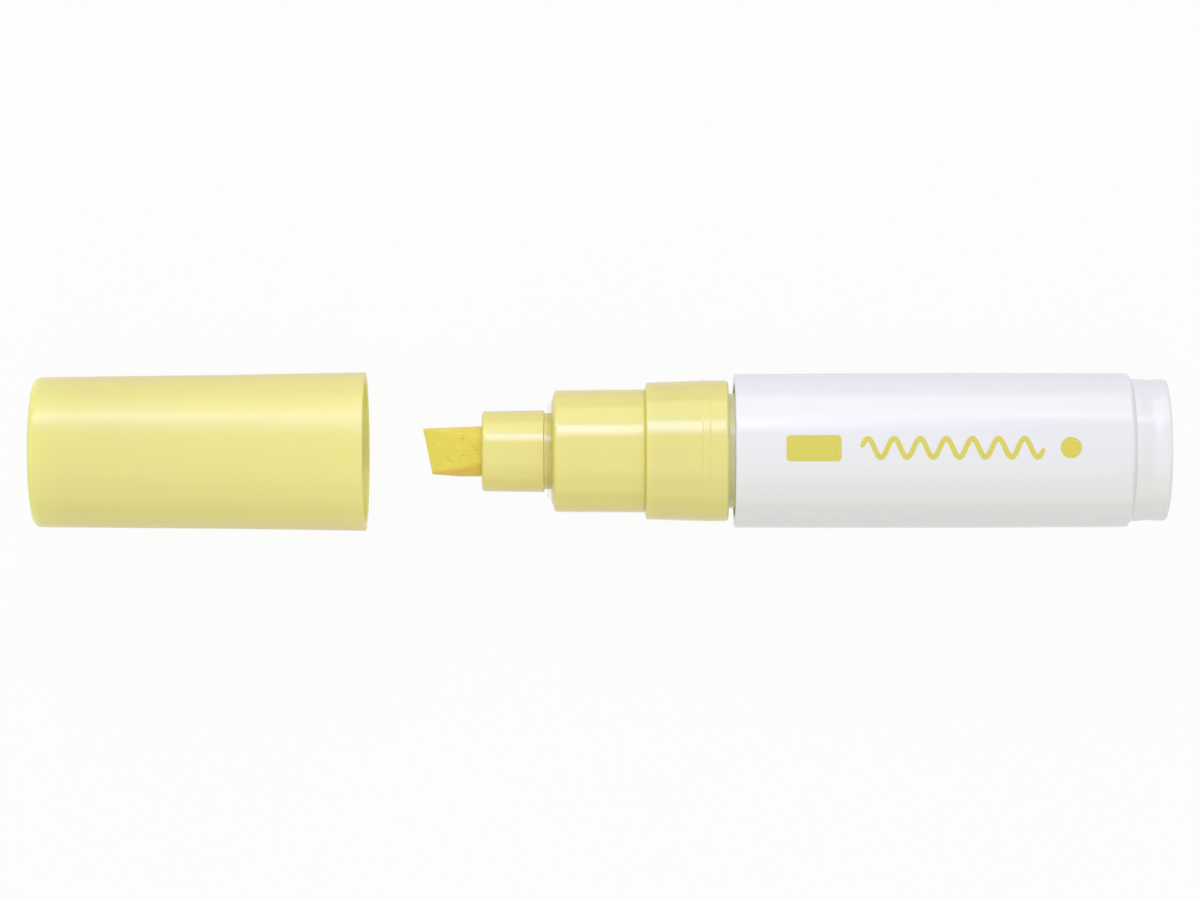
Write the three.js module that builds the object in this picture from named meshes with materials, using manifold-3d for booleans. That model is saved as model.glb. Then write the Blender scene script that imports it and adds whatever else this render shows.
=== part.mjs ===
// A broad-tip paint marker lying on its side with its cap pulled off, nib towards -X, in millimetres, +Z up.
// Stations along it are measured from the barrel's front face, minus towards the nib, plus towards the tail.
import * as THREE from "three";
import { mergeVertices } from "three/addons/utils/BufferGeometryUtils.js";
import Module from "manifold-3d";

const wasm = await Module();
wasm.setup();

// Barrel, a white tube with a closed bottom and a stepped tail that the cap is posted on
const barrelFrontR = 12.75;
const barrelCrown = 0.12; // how far the tube swells halfway along
const barrelFlare = 0.03; // how much wider the tube's rear end is than its front
const barrelLength = 64.9;
const barrelWall = 1.55;
const barrelBottom = 1.6;
const barrelEdge = 0.35;
const tailStepDown = 0.93;
const tailStepSlope = 0.65;
const tailLength = 5.85;
const tailGrooveDepth = 0.17;
const tailRound = 1.3;

// Collar that the cap snaps on to, and the neck behind it
const capLip = 0.43; // the cap's mouth stands this far proud of the barrel
const capWall = 1.16;
const capFitGap = 0.36;
const collarLength = 13.95;
const collarDraft = 0.29;
const collarBeadHeight = 0.12;
const collarBeadWidth = 1.3;
const collarBeadAt = 3.0; // from the back edge of the collar
const skirtWall = 1.15;
const neckLength = 1.0;
const neckStep = 1.55;
const coreWall = 1.3;

// Wide step ahead of the collar
const stepHeight = 1.14;
const stepLength = 15.25;
const stepDraft = 0.14;
const stepRound = 0.5;
const frontWall = 1.6;

// Plug that goes into the barrel
const plugLength = 11.7;
const plugWall = 1.45;
const plugGap = 0.1;
const plugGrooveAt = 6.7;
const plugGrooveDepth = 0.8;
const sealWire = 1.2;
const shoulderAt = 1.8;

// Nose that holds the nib
const noseR = 6.81;
const noseLength = 10.25;
const noseDraft = 0.15;
const noseRound = 0.45;
const noseShoulder = 0.5;
const nosePlugLength = 9.2;
const nosePlugGap = 0.1;
const noseBarb = 0.35;
const channelCount = 6;
const channelDepth = 0.5;
const channelWidth = 1.5;

// Lip ring clamped between nose and front section
const sealLip = 1.44; // how far its back edge stands out from the nose
const sealFace = 0.9; // the same for its flat front face
const sealThickness = 0.65;
const sealGap = 0.1;
const sealStand = 0.45; // bare neck of the nose ahead of it

// Felt nib: a round rod with two flats and a slanted writing edge
const nibR = 4.17;
const nibReach = 8.75; // from the nose to the middle of the writing edge
const nibRodBehind = 14.65; // from the nose's front to the nib's rear end
const nibTipThickness = 4.3;
const nibFlatAngle = 9;
const nibSlantAngle = 14.4;
const nibSideTaper = 0.4;
const nibTaperLength = 4.6;
const nibGap = 0.1;

// Valve behind the nib
const valveTravel = 2.5; // until the head of the stem stops on the cage
const valveWall = 1.2;
const valveFlange = 1.2;
const chamberR = 5.6;
const ductR = 5.2;
const seatAt = -7.6;
const seatWall = 1.2;
const seatHoleR = 3.0;
const seatLip = 0.4;
const stemRodR = 1.7;
const stemCoreR = 1.55; // the round part of the rod, inside its washer
const stemFlute = 0.9; // width of a rib of the fluted rod
const stemPad = 1.2;
const stemHeadR = 4.9;
const stemHead = 1.2;
const stemGuideR = 2.1;
const stemGuide = 3.1;
const washer = 0.8;
const cageReach = 6.7; // behind the flange of the valve body
const cageWall = 0.85;
const cageFlangeR = 7.4;
const cageFlange = 1.0;
const cageHoleR = 1.5;
const windowCount = 4;
const windowWidth = 3.2;
const windowLength = 3.2;
const slotDepth = 1.2;
const springR = 3.0;
const springWire = 0.5;
const springTurns = 8;
const springEndPitch = 0.7;

// Cap: an outer shell with a thimble snapped inside it
const capSeatGap = 0.2; // between the shut cap and the barrel
const capOffGap = 9.46; // from the nib's tip to the mouth of the pulled-off cap
const capTaper = 0.35; // from the mouth to the waist
const capWaistAt = 19.4;
const capEndTaper = 0.37; // from the waist to the closed end
const capEndWall = 1.6;
const capEndRound = 1.2;
const capBeadAt = 3.3;
const capBeadHeight = 0.1;
const tipRoom = 0.84; // between the nib and the bottom of the shut cap
const linerWall = 0.9;
const linerEnd = 0.8;
const linerNoseGap = 0.79;
const linerFlange = 1.2;
const linerBead = 0.3;

// Mixing ball, a quarter of an inch across
const ballR = 3.175;
const ballAt = 38;

// Clearances between pieces that rest on each other, and between round pieces that slide
const seatGap = 0.3;
const runGap = 0.1;

// Broken edges, lead-in chamfers and snap beads
const edge = 0.2;
const leadIn = 0.5;
const beadRun = 0.4; // from the foot of a snap bead to its top
const boreRound = 1.0;
const draft = 0.1;

// Facets of a full turn
const outerFacets = 40;
const innerFacets = 28;

// Sizes that follow from those above
const barrelBoreR = barrelFrontR - barrelWall;
const barrelRearR = barrelFrontR + barrelFlare;
const tailR = barrelRearR - tailStepDown;
const tailEnd = barrelLength + tailStepSlope + tailLength;
const capMouthR = barrelFrontR + capLip;
const capBoreR = capMouthR - capWall;
const collarR = capBoreR - capFitGap;
const collarBack = -neckLength;
const collarFront = collarBack - collarLength;
const stepRearR = collarR - collarDraft - stepHeight;
const stepFront = collarFront - stepLength;
const plugR = barrelBoreR - plugGap;
const neckR = plugR - neckStep;
const cavityR = neckR - coreWall;
const nosePlugR = noseR - noseShoulder;
const noseHoleR = nosePlugR + nosePlugGap;
const sealFront = stepFront - sealGap - sealThickness;
const noseRear = sealFront - sealStand;
const noseFront = noseRear - noseLength;
const nosePlugEnd = noseRear + nosePlugLength;
const nibMid = noseFront - nibReach;
const nibSlantRun = nibR * Math.tan(THREE.MathUtils.degToRad(nibSlantAngle));
const nibTip = nibMid - nibSlantRun;
const nibRear = noseFront + nibRodBehind;
const capTravel = -nibTip + capOffGap - capSeatGap;
const capMouth = -capSeatGap - capTravel;
const capLength = -nibTip - capSeatGap + tipRoom + linerEnd + seatGap + capEndWall;
const capEnd = capMouth - capLength;
const linerR = noseR + linerNoseGap;
const washerAt = seatAt + seatLip + seatGap;
const stemHeadAt = washerAt + washer + seatGap;
const cageSeat = shoulderAt + seatGap + valveFlange + seatGap;
const cageR = chamberR - runGap;
const cageFront = stemHeadAt + stemHead + valveTravel + runGap;
const cageEnd = cageSeat + cageReach;

const yellowPlastic = new THREE.MeshStandardMaterial({ color: 0xe9e08e, roughness: 0.32 });
const whitePlastic = new THREE.MeshStandardMaterial({ color: 0xeceef1, roughness: 0.28 });
const naturalPlastic = new THREE.MeshStandardMaterial({ color: 0xe4e2da, roughness: 0.45 });
const clearPlastic = new THREE.MeshStandardMaterial({ color: 0xd9d6b0, roughness: 0.25 });
const feltFibre = new THREE.MeshStandardMaterial({ color: 0xe6d25e, roughness: 0.9 });
const blackRubber = new THREE.MeshStandardMaterial({ color: 0x242426, roughness: 0.7 });
const steel = new THREE.MeshStandardMaterial({ color: 0xb9bcc0, roughness: 0.25, metalness: 1 });

// Points of an arc in [station, radius]. Its angles are in degrees, 0 towards the tail and 90 outwards.
function arc(station, radius, size, from, to, steps = 4) {
  const points = [];
  for (let i = 0; i <= steps; i++) {
    const angle = THREE.MathUtils.degToRad(from + ((to - from) * i) / steps);
    points.push([station + size * Math.cos(angle), radius + size * Math.sin(angle)]);
  }
  return points;
}

// A body of revolution about the marker's axis from a profile of [station, radius] points, outer side first.
// Half a facet of turn puts a flat of every round piece underneath, where the marker rests.
function revolve(profile, facets = outerFacets) {
  const points = profile.map(([station, radius]) => new THREE.Vector2(radius, station));
  const onAxis = profile[0][1] === 0 && profile.at(-1)[1] === 0;
  if (!onAxis) points.push(points[0].clone());
  return new THREE.LatheGeometry(points, facets, Math.PI / facets).rotateZ(-Math.PI / 2);
}

// A prism along the axis from a shape drawn in the plane across it, x to +Y and y to +Z.
function prism(shape, from, to, curveSegments = 6) {
  const depth = to - from;
  const drawn = new THREE.ExtrudeGeometry(shape, { depth, bevelEnabled: false, curveSegments });
  return drawn.rotateX(Math.PI / 2).rotateZ(Math.PI / 2).translate(from, 0, 0);
}

function toSolid(geometry) {
  const bare = geometry.clone();
  bare.deleteAttribute("normal");
  bare.deleteAttribute("uv");
  const merged = mergeVertices(bare, 1e-4);
  return new wasm.Manifold(
    new wasm.Mesh({
      numProp: 3,
      vertProperties: merged.attributes.position.array,
      triVerts: new Uint32Array(merged.index.array),
    }),
  );
}

function toGeometry(solid) {
  const { vertProperties, triVerts } = solid.getMesh();
  const geometry = new THREE.BufferGeometry();
  geometry.setAttribute("position", new THREE.BufferAttribute(vertProperties, 3));
  geometry.setIndex(new THREE.BufferAttribute(triVerts, 1));
  geometry.computeVertexNormals();
  return geometry;
}

function piece(name, geometry, material) {
  const mesh = new THREE.Mesh(geometry, material);
  mesh.name = name;
  return mesh;
}

function barrel() {
  const tailBeadR = tailR - tailGrooveDepth / 2;
  const tailStart = barrelLength + tailStepSlope;
  const boreEnd = barrelLength - barrelWall;
  const tailBoreR = tailR - barrelWall;
  return revolve([
    [edge, barrelBoreR],
    [0, barrelBoreR + edge],
    [0, barrelFrontR - barrelEdge],
    [barrelEdge, barrelFrontR],
    [barrelLength / 2, barrelFrontR + barrelCrown],
    [barrelLength, barrelRearR],
    [tailStart, tailR],
    [tailStart + tailLength * 0.35, tailR - tailGrooveDepth / 2],
    [tailStart + tailLength * 0.52, tailR - tailGrooveDepth],
    [tailStart + tailLength * 0.68, tailBeadR],
    ...arc(tailEnd - tailRound, tailBeadR - tailRound, tailRound, 90, 0, 5),
    [tailEnd, 0],
    [tailEnd - barrelBottom, 0],
    ...arc(tailEnd - barrelBottom - boreRound, tailBoreR - boreRound, boreRound, 0, 90, 3),
    [tailStart - edge, tailBoreR],
    [boreEnd, barrelBoreR],
  ]);
}

function frontSection() {
  const stepFrontR = stepRearR - stepDraft;
  const lipR = noseR + sealLip + sealGap;
  const collarFrontR = collarR - collarDraft;
  const beadR = collarR + collarBeadHeight;
  const beadBack = collarBack - collarBeadAt;
  const beadFront = beadBack - collarBeadWidth;
  const skirtR = collarR - skirtWall;
  const pocketEnd = collarFront + coreWall;
  const plugBack = seatGap + plugLength;
  const plugBoreR = plugR - plugWall;
  const grooveR = plugR - plugGrooveDepth;
  const snapAt = shoulderAt + seatGap + valveFlange + runGap;
  return revolve([
    [stepFront, noseHoleR],
    [stepFront, lipR],
    ...arc(stepFront + 2 * edge + stepRound, stepFrontR - stepRound, stepRound, 160, 90, 3),
    [collarFront, stepRearR],
    [collarFront, collarFrontR - edge],
    [collarFront + edge, collarFrontR],
    [beadFront, collarR],
    [beadFront + edge, beadR],
    [beadBack - edge, beadR],
    [beadBack, collarR],
    [collarBack - edge, collarR],
    [collarBack, collarR - edge],
    [collarBack, skirtR],
    [pocketEnd, skirtR - draft],
    [pocketEnd, neckR + draft],
    [collarBack, neckR],
    [seatGap, neckR],
    [seatGap, plugR],
    [plugGrooveAt, plugR],
    [plugGrooveAt, grooveR],
    [plugGrooveAt + sealWire + runGap, grooveR],
    [plugGrooveAt + sealWire + runGap, plugR],
    [plugBack - leadIn, plugR],
    [plugBack, plugR - leadIn],
    [plugBack, plugBoreR],
    [snapAt + 2 * beadRun, plugBoreR],
    [snapAt + beadRun, plugBoreR - edge],
    [snapAt, plugBoreR],
    [shoulderAt, plugBoreR],
    [shoulderAt, cavityR],
    [stepFront + frontWall, cavityR],
    [stepFront + frontWall, noseHoleR],
  ]);
}

// Outline of the ribbed bore: a circle with channels that let air back past the nib.
function ribbedBore() {
  const ribR = nibR + nibGap;
  const outline = new THREE.Shape();
  const halfAngle = Math.asin(channelWidth / 2 / ribR);
  for (let i = 0; i < channelCount; i++) {
    const middle = ((i + 0.5) * 2 * Math.PI) / channelCount;
    const next = middle + (2 * Math.PI) / channelCount;
    outline.absarc(0, 0, ribR + channelDepth, middle - halfAngle, middle + halfAngle, false);
    outline.absarc(0, 0, ribR, middle + halfAngle, next - halfAngle, false);
  }
  outline.closePath();
  return outline;
}

function nose() {
  const barbAt = stepFront + frontWall + runGap;
  const body = revolve([
    [noseFront, 0],
    ...arc(noseFront + noseRound, noseR - noseDraft - noseRound, noseRound, 180, 90, 4),
    [noseRear - edge, noseR],
    [noseRear, noseR - edge],
    [noseRear, nosePlugR],
    [barbAt, nosePlugR],
    [barbAt + edge, nosePlugR + noseBarb],
    [barbAt + 2 * beadRun, nosePlugR],
    [nosePlugEnd - leadIn, nosePlugR],
    [nosePlugEnd, nosePlugR - leadIn],
    [nosePlugEnd, 0],
  ]);
  const bore = prism(ribbedBore(), noseFront - 1, nosePlugEnd + 1, 3);
  return toGeometry(toSolid(body).subtract(toSolid(bore)));
}

function sealRing() {
  const back = sealFront + sealThickness;
  return revolve([
    [sealFront, noseHoleR],
    [sealFront, noseR + sealFace],
    [back, noseR + sealLip],
    [back, noseHoleR],
  ]);
}

// The felt rod, cut by a wedge seen from the side and by the slanted outline seen from above.
function nib() {
  const flat = Math.tan(THREE.MathUtils.degToRad(nibFlatAngle));
  const rodFront = nibTip - 1;
  const rod = revolve(
    [
      [rodFront, 0],
      [rodFront, nibR],
      [nibRear - edge, nibR],
      [nibRear, nibR - edge],
      [nibRear, 0],
    ],
    outerFacets,
  );
  const wedge = new THREE.Shape();
  const halfAtRear = nibTipThickness / 2 + (nibRear + 1 - nibMid) * flat;
  const halfAtFront = nibTipThickness / 2 - (nibMid - rodFront + 1) * flat;
  wedge.moveTo(rodFront - 1, -halfAtFront);
  wedge.lineTo(nibRear + 1, -halfAtRear);
  wedge.lineTo(nibRear + 1, halfAtRear);
  wedge.lineTo(rodFront - 1, halfAtFront);
  wedge.closePath();
  const width = 2 * nibR + 2;
  const side = new THREE.ExtrudeGeometry(wedge, { depth: width, bevelEnabled: false });
  side.translate(0, 0, -width / 2).rotateX(Math.PI / 2);

  const outline = new THREE.Shape();
  const tipHalf = nibR - nibSideTaper;
  outline.moveTo(nibMid - nibSlantRun, tipHalf);
  outline.lineTo(nibMid + nibSlantRun, -tipHalf);
  outline.lineTo(nibMid + nibTaperLength, -nibR - 0.01);
  outline.lineTo(nibRear + 1, -nibR - 0.5);
  outline.lineTo(nibRear + 1, nibR + 0.5);
  outline.lineTo(nibMid + nibTaperLength, nibR + 0.01);
  outline.closePath();
  const above = new THREE.ExtrudeGeometry(outline, { depth: width, bevelEnabled: false });
  above.translate(0, 0, -width / 2);
  return toGeometry(toSolid(rod).intersect(toSolid(side)).intersect(toSolid(above)));
}

function valveBody() {
  const flangeR = plugR - plugWall - runGap;
  const front = nosePlugEnd + seatGap;
  const back = shoulderAt + seatGap + valveFlange;
  const landR = cavityR - runGap;
  const ductOuterR = ductR + valveWall;
  const seatFront = seatAt - seatWall;
  const ringFront = 1.2;
  const ringWidth = 1.0;
  return revolve(
    [
      [front, ductR],
      [front, ductOuterR],
      [front + ringFront, ductOuterR],
      [front + ringFront + beadRun, landR],
      [front + ringFront + beadRun + ringWidth, landR],
      [front + ringFront + 2 * beadRun + ringWidth, ductOuterR],
      [seatFront - (landR - ductOuterR), ductOuterR],
      [seatFront, landR],
      [shoulderAt + seatGap, landR],
      [shoulderAt + seatGap, flangeR],
      [back, flangeR],
      [back, chamberR],
      [seatAt, chamberR],
      [seatAt, seatHoleR + seatLip + leadIn],
      [seatAt + seatLip, seatHoleR + leadIn],
      [seatAt + seatLip, seatHoleR],
      [seatFront, seatHoleR],
      [seatFront, ductR],
    ],
    innerFacets,
  );
}

// The plunger: a pad behind the nib, a rod of crossed ribs, a head, and a pin inside the spring.
function valveStem() {
  const padFront = nibRear + seatGap;
  const padBack = padFront + stemPad;
  const headBack = stemHeadAt + stemHead;
  const ends = [
    revolve([[padFront, 0], [padFront, nibR - leadIn], [padBack, nibR - draft], [padBack, 0]], innerFacets),
    revolve(
      [
        [washerAt - runGap, 0],
        [washerAt - runGap, stemCoreR],
        [stemHeadAt, stemCoreR],
        [stemHeadAt, stemHeadR],
        [headBack - edge, stemHeadR],
        [headBack, stemHeadR - edge],
        [headBack, stemGuideR],
        [headBack + stemGuide - leadIn, stemGuideR],
        [headBack + stemGuide, stemGuideR - leadIn],
        [headBack + stemGuide, 0],
      ],
      innerFacets,
    ),
  ];
  let stem = toSolid(ends[0]).add(toSolid(ends[1]));
  for (const turn of [0, Math.PI / 2]) {
    const length = washerAt - padFront;
    const rib = new THREE.BoxGeometry(length, stemFlute, 2 * stemRodR);
    rib.rotateX(turn).translate(padFront + length / 2, 0, 0);
    stem = stem.add(toSolid(rib));
  }
  return toGeometry(stem);
}

function stemSeal() {
  const innerR = stemCoreR + runGap;
  return revolve(
    [
      [washerAt, innerR],
      [washerAt, stemHeadR - edge],
      [washerAt + edge, stemHeadR],
      [washerAt + washer, stemHeadR],
      [washerAt + washer, innerR],
    ],
    innerFacets,
  );
}

// A compression spring whose first and last turns lie almost closed.
class SpringPath extends THREE.Curve {
  constructor(from, to) {
    super();
    this.from = from;
    this.to = to;
  }

  getPoint(t, target = new THREE.Vector3()) {
    const turn = t * springTurns;
    const active = (this.to - this.from - 2 * springEndPitch) / (springTurns - 2);
    const middle = Math.min(Math.max(turn - 1, 0), springTurns - 2);
    const ends = Math.min(turn, 1) + Math.max(turn - (springTurns - 1), 0);
    const station = this.from + ends * springEndPitch + middle * active;
    const angle = turn * 2 * Math.PI;
    return target.set(station, springR * Math.sin(angle), springR * Math.cos(angle));
  }
}

function valveSpring() {
  const from = stemHeadAt + stemHead + seatGap + springWire / 2;
  const to = cageEnd - cageFlange - seatGap - springWire / 2;
  const wire = new THREE.Shape();
  wire.absarc(0, 0, springWire / 2, 0, 2 * Math.PI);
  const wound = new THREE.ExtrudeGeometry(wire, {
    steps: springTurns * 12,
    curveSegments: 3,
    extrudePath: new SpringPath(from, to),
  });
  return toGeometry(toSolid(wound));
}

// The cup that holds the spring. Paint enters by its windows, and leaves by the slots in its front edge.
function springCage() {
  const cup = revolve(
    [
      [cageFront, cageR - cageWall],
      [cageFront, cageR - edge],
      [cageFront + edge, cageR],
      [cageSeat, cageR],
      [cageSeat, cageFlangeR],
      [cageSeat + cageFlange, cageFlangeR],
      [cageSeat + cageFlange, cageR],
      [cageEnd, cageR - edge],
      [cageEnd, cageHoleR],
      [cageEnd - cageFlange, cageHoleR],
      [cageEnd - cageFlange, cageR - cageWall],
    ],
    innerFacets,
  );
  let cage = toSolid(cup);
  const middle = (cageSeat + cageFlange + cageEnd - cageFlange) / 2;
  for (let i = 0; i < windowCount; i++) {
    const turn = (i * 2 * Math.PI) / windowCount;
    for (const [length, at] of [[windowLength, middle], [2 * slotDepth, cageFront]]) {
      const opening = new THREE.BoxGeometry(length, windowWidth, cageR * 2);
      opening.translate(at, 0, cageR).rotateX(turn);
      cage = cage.subtract(toSolid(opening));
    }
  }
  return toGeometry(cage);
}

function plugSeal() {
  const innerR = plugR - plugGrooveDepth + runGap / 2;
  const outerR = barrelBoreR - runGap / 2;
  const front = plugGrooveAt + runGap / 2;
  const corner = sealWire / 4;
  return revolve([
    [front, innerR + corner],
    [front, outerR - corner],
    [front + corner, outerR],
    [front + sealWire - corner, outerR],
    [front + sealWire, outerR - corner],
    [front + sealWire, innerR + corner],
    [front + sealWire - corner, innerR],
    [front + corner, innerR],
  ]);
}

function capShell() {
  const waistR = capMouthR - capTaper;
  const endR = waistR - capEndTaper;
  const waist = capMouth - capWaistAt;
  const beadAt = capMouth - capBeadAt;
  const boreEnd = capEnd + capEndWall;
  const snapAt = boreEnd + seatGap + linerFlange + runGap;
  const boreR = (station) => {
    const share = Math.min(Math.max((capMouth - station) / capWaistAt, 0), 1);
    const rest = Math.max((waist - station) / (waist - capEnd), 0);
    return capBoreR - capTaper * share - capEndTaper * rest;
  };
  return revolve([
    [capEnd, 0],
    ...arc(capEnd + capEndRound, endR - capEndRound, capEndRound, 180, 90, 5),
    [waist, waistR],
    [capMouth - edge, capMouthR],
    [capMouth, capMouthR - edge],
    [capMouth, capBoreR + edge],
    [capMouth - edge, capBoreR],
    [beadAt + beadRun, boreR(beadAt + beadRun)],
    [beadAt, boreR(beadAt) - capBeadHeight],
    [beadAt - beadRun, boreR(beadAt - beadRun)],
    [waist, boreR(waist)],
    [snapAt + 2 * beadRun, boreR(snapAt)],
    [snapAt + beadRun, boreR(snapAt) - linerBead],
    [snapAt, boreR(snapAt)],
    [boreEnd, boreR(boreEnd)],
    [boreEnd, 0],
  ]);
}

function innerCap() {
  const back = capEnd + capEndWall + seatGap;
  const rim = sealFront - seatGap - capTravel;
  const flangeR = capBoreR - capTaper - capEndTaper - runGap;
  const outerR = linerR + linerWall;
  return revolve([
    [back, 0],
    [back, flangeR - edge],
    [back + edge, flangeR],
    [back + linerFlange, flangeR],
    [back + linerFlange, outerR + edge],
    [back + linerFlange + edge, outerR],
    [rim - leadIn, outerR],
    [rim, linerR + 2 * edge],
    [rim, linerR + edge],
    [rim - edge, linerR],
    [back + linerEnd + boreRound, linerR - draft],
    [back + linerEnd, linerR - boreRound],
    [back + linerEnd, 0],
  ]);
}

function mixingBall() {
  const rest = barrelBoreR * Math.cos(Math.PI / outerFacets) - ballR - runGap;
  return new THREE.SphereGeometry(ballR, 20, 12).translate(ballAt, 0, -rest);
}

const cap = new THREE.Group();
cap.add(piece("cap_shell", capShell(), yellowPlastic));
cap.add(piece("inner_cap", innerCap(), naturalPlastic));

const nibUnit = new THREE.Group();
nibUnit.add(piece("nib", nib(), feltFibre));
nibUnit.add(piece("valve_stem", valveStem(), naturalPlastic));
nibUnit.add(piece("stem_seal", stemSeal(), blackRubber));

const body = new THREE.Group();
body.add(piece("barrel", barrel(), whitePlastic));
body.add(piece("front_section", frontSection(), yellowPlastic));
body.add(piece("nose", nose(), yellowPlastic));
body.add(piece("seal_ring", sealRing(), clearPlastic));
body.add(piece("valve_body", valveBody(), naturalPlastic));
body.add(piece("valve_spring", valveSpring(), steel));
body.add(piece("spring_cage", springCage(), naturalPlastic));
body.add(piece("plug_seal", plugSeal(), blackRubber));
body.add(piece("mixing_ball", mixingBall(), steel));

// The origin is under the middle of the whole length, at the height of the flat that the cap rests on.
const marker = new THREE.Group();
marker.add(body, nibUnit, cap);
marker.position.set(-(capEnd + tailEnd) / 2, 0, capMouthR * Math.cos(Math.PI / outerFacets));
marker.updateMatrixWorld(true);

export default marker;
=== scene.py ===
# A broad-tip paint marker lying beside its pulled-off cap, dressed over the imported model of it.
import math

import bmesh
import bpy
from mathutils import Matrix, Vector, noise


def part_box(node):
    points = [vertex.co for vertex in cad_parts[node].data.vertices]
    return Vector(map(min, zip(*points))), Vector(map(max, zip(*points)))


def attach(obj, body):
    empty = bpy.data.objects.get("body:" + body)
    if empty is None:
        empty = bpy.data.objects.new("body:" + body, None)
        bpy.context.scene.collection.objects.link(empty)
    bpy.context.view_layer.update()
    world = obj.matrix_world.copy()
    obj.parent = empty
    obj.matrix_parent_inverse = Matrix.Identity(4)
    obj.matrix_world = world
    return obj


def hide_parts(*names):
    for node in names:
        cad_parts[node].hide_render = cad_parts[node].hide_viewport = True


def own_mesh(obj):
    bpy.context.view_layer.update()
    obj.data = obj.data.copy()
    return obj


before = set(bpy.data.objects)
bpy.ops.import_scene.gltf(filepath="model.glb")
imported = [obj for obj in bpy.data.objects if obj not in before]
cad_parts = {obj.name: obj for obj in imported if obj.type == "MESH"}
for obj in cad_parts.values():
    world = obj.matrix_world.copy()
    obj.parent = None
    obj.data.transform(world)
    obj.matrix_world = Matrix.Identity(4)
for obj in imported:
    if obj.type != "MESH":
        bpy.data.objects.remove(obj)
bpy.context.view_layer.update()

# Barrel: the white tube that holds the paint, with a closed bottom and a stepped tail for the cap.
# It is moulded in one shot of glossy polypropylene. The gate left a small pip in the middle of the tail.
MM = 0.001
low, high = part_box("barrel")
barrel_front = low.x
axis_z = (low.z + high.z) / 2
solid_sides = 40
frame_flat = math.cos(math.pi / solid_sides)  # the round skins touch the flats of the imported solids


def rounded(corners, steps=6, hold=0.04):
    """A profile in millimetres from corners (station, radius, bend), each corner rounded over its bend.

    A point at most hold beyond each bend keeps the light on the straights from running into it.
    """
    bend_share = 0.45  # the most of either straight that a bend may take
    hold_share = 0.04  # and the most that hold may take
    path = []
    for index, (station, radius, bend) in enumerate(corners):
        corner = Vector((station, radius))
        if bend == 0:
            path.append(corner)
            continue
        before = Vector(corners[index - 1][:2]) - corner
        after = Vector(corners[(index + 1) % len(corners)][:2]) - corner
        reach = min(bend, bend_share * before.length, bend_share * after.length)
        start = corner + before.normalized() * reach
        end = corner + after.normalized() * reach
        path.append(start + before.normalized() * min(hold, hold_share * before.length))
        for step in range(steps + 1):
            t = step / steps
            path.append((1 - t) ** 2 * start + 2 * t * (1 - t) * corner + t ** 2 * end)
        path.append(end + after.normalized() * min(hold, hold_share * after.length))
    return path


def eased(start, end, steps=10):
    """Points of a smooth swell from one (station, radius) to another, without the last."""
    for step in range(steps):
        t = step / steps
        share = t * t * (3 - 2 * t)
        yield (start[0] + (end[0] - start[0]) * t, start[1] + (end[1] - start[1]) * share, 0)


def finish_mesh(name, verts, faces, material, crease=35):
    """A closed smooth skin from points in metres, with its faces pointing out."""
    mesh = bpy.data.meshes.new(name)
    mesh.from_pydata(verts, [], faces)
    work = bmesh.new()
    work.from_mesh(mesh)
    bmesh.ops.remove_doubles(work, verts=work.verts, dist=1e-7)
    bmesh.ops.recalc_face_normals(work, faces=work.faces)
    work.to_mesh(mesh)
    work.free()
    mesh.shade_smooth()
    mesh.set_sharp_from_angle(angle=math.radians(crease))
    mesh.materials.append(material)
    made = bpy.data.objects.new(name, mesh)
    bpy.context.scene.collection.objects.link(made)
    return made


def turned(name, profile, material, turns=160, bore=None):
    """A skin turned about the marker's axis. Stations count from the barrel's front face, in millimetres.

    Where the profile's radius is below zero, bore gives the radius at each angle.
    """
    verts = []
    faces = []
    angles = [2 * math.pi * turn / turns for turn in range(turns)]
    for station, radius in profile:
        for angle in angles:
            reach = frame_flat * (bore(angle) if bore and radius < 0 else radius) * MM
            point = (reach * math.sin(angle), axis_z + reach * math.cos(angle))
            verts.append((barrel_front + station * MM, *point))
    rings = len(profile)
    closed = profile[0][1] != 0 or profile[-1][1] != 0
    for ring in range(rings if closed else rings - 1):
        for turn in range(turns):
            here = ring * turns + turn
            beside = ring * turns + (turn + 1) % turns
            next_ring = ((ring + 1) % rings - ring) * turns
            faces.append((here, beside, beside + next_ring, here + next_ring))
    return finish_mesh(name, verts, faces, material)


def put(tree, kind, sockets=(), **settings):
    """Adds a shader node, with its settings, and sets or links its sockets."""
    node = tree.nodes.new("ShaderNode" + kind)
    for name, value in settings.items():
        setattr(node, name, value)
    for name, value in dict(sockets).items():
        if isinstance(value, bpy.types.NodeSocket):
            tree.links.new(value, node.inputs[name])
        else:
            node.inputs[name].default_value = value
    return node


def sums(tree, operation, *values):
    """The output of a Math node over numbers or sockets."""
    return put(tree, "Math", dict(enumerate(values)), operation=operation).outputs[0]


def ramp(tree, value, low_end, high_end, to_low=0.0, to_high=1.0):
    """Maps a value smoothly from one span to another, without going past its ends."""
    sockets = {"Value": value, "From Min": low_end, "From Max": high_end, "To Min": to_low, "To Max": to_high}
    return put(tree, "MapRange", sockets, interpolation_type="SMOOTHSTEP").outputs[0]


def grown(tree, position, size, detail=2.0, stretch=(1, 1, 1)):
    """Noise over a position in millimetres, whose grains are about size across before the stretch."""
    scale = [share / size for share in stretch]
    moved = put(tree, "VectorMath", {0: position, 1: scale}, operation="MULTIPLY").outputs[0]
    return put(tree, "TexNoise", {"Vector": moved, "Scale": 1.0, "Detail": detail}).outputs["Fac"]


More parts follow.
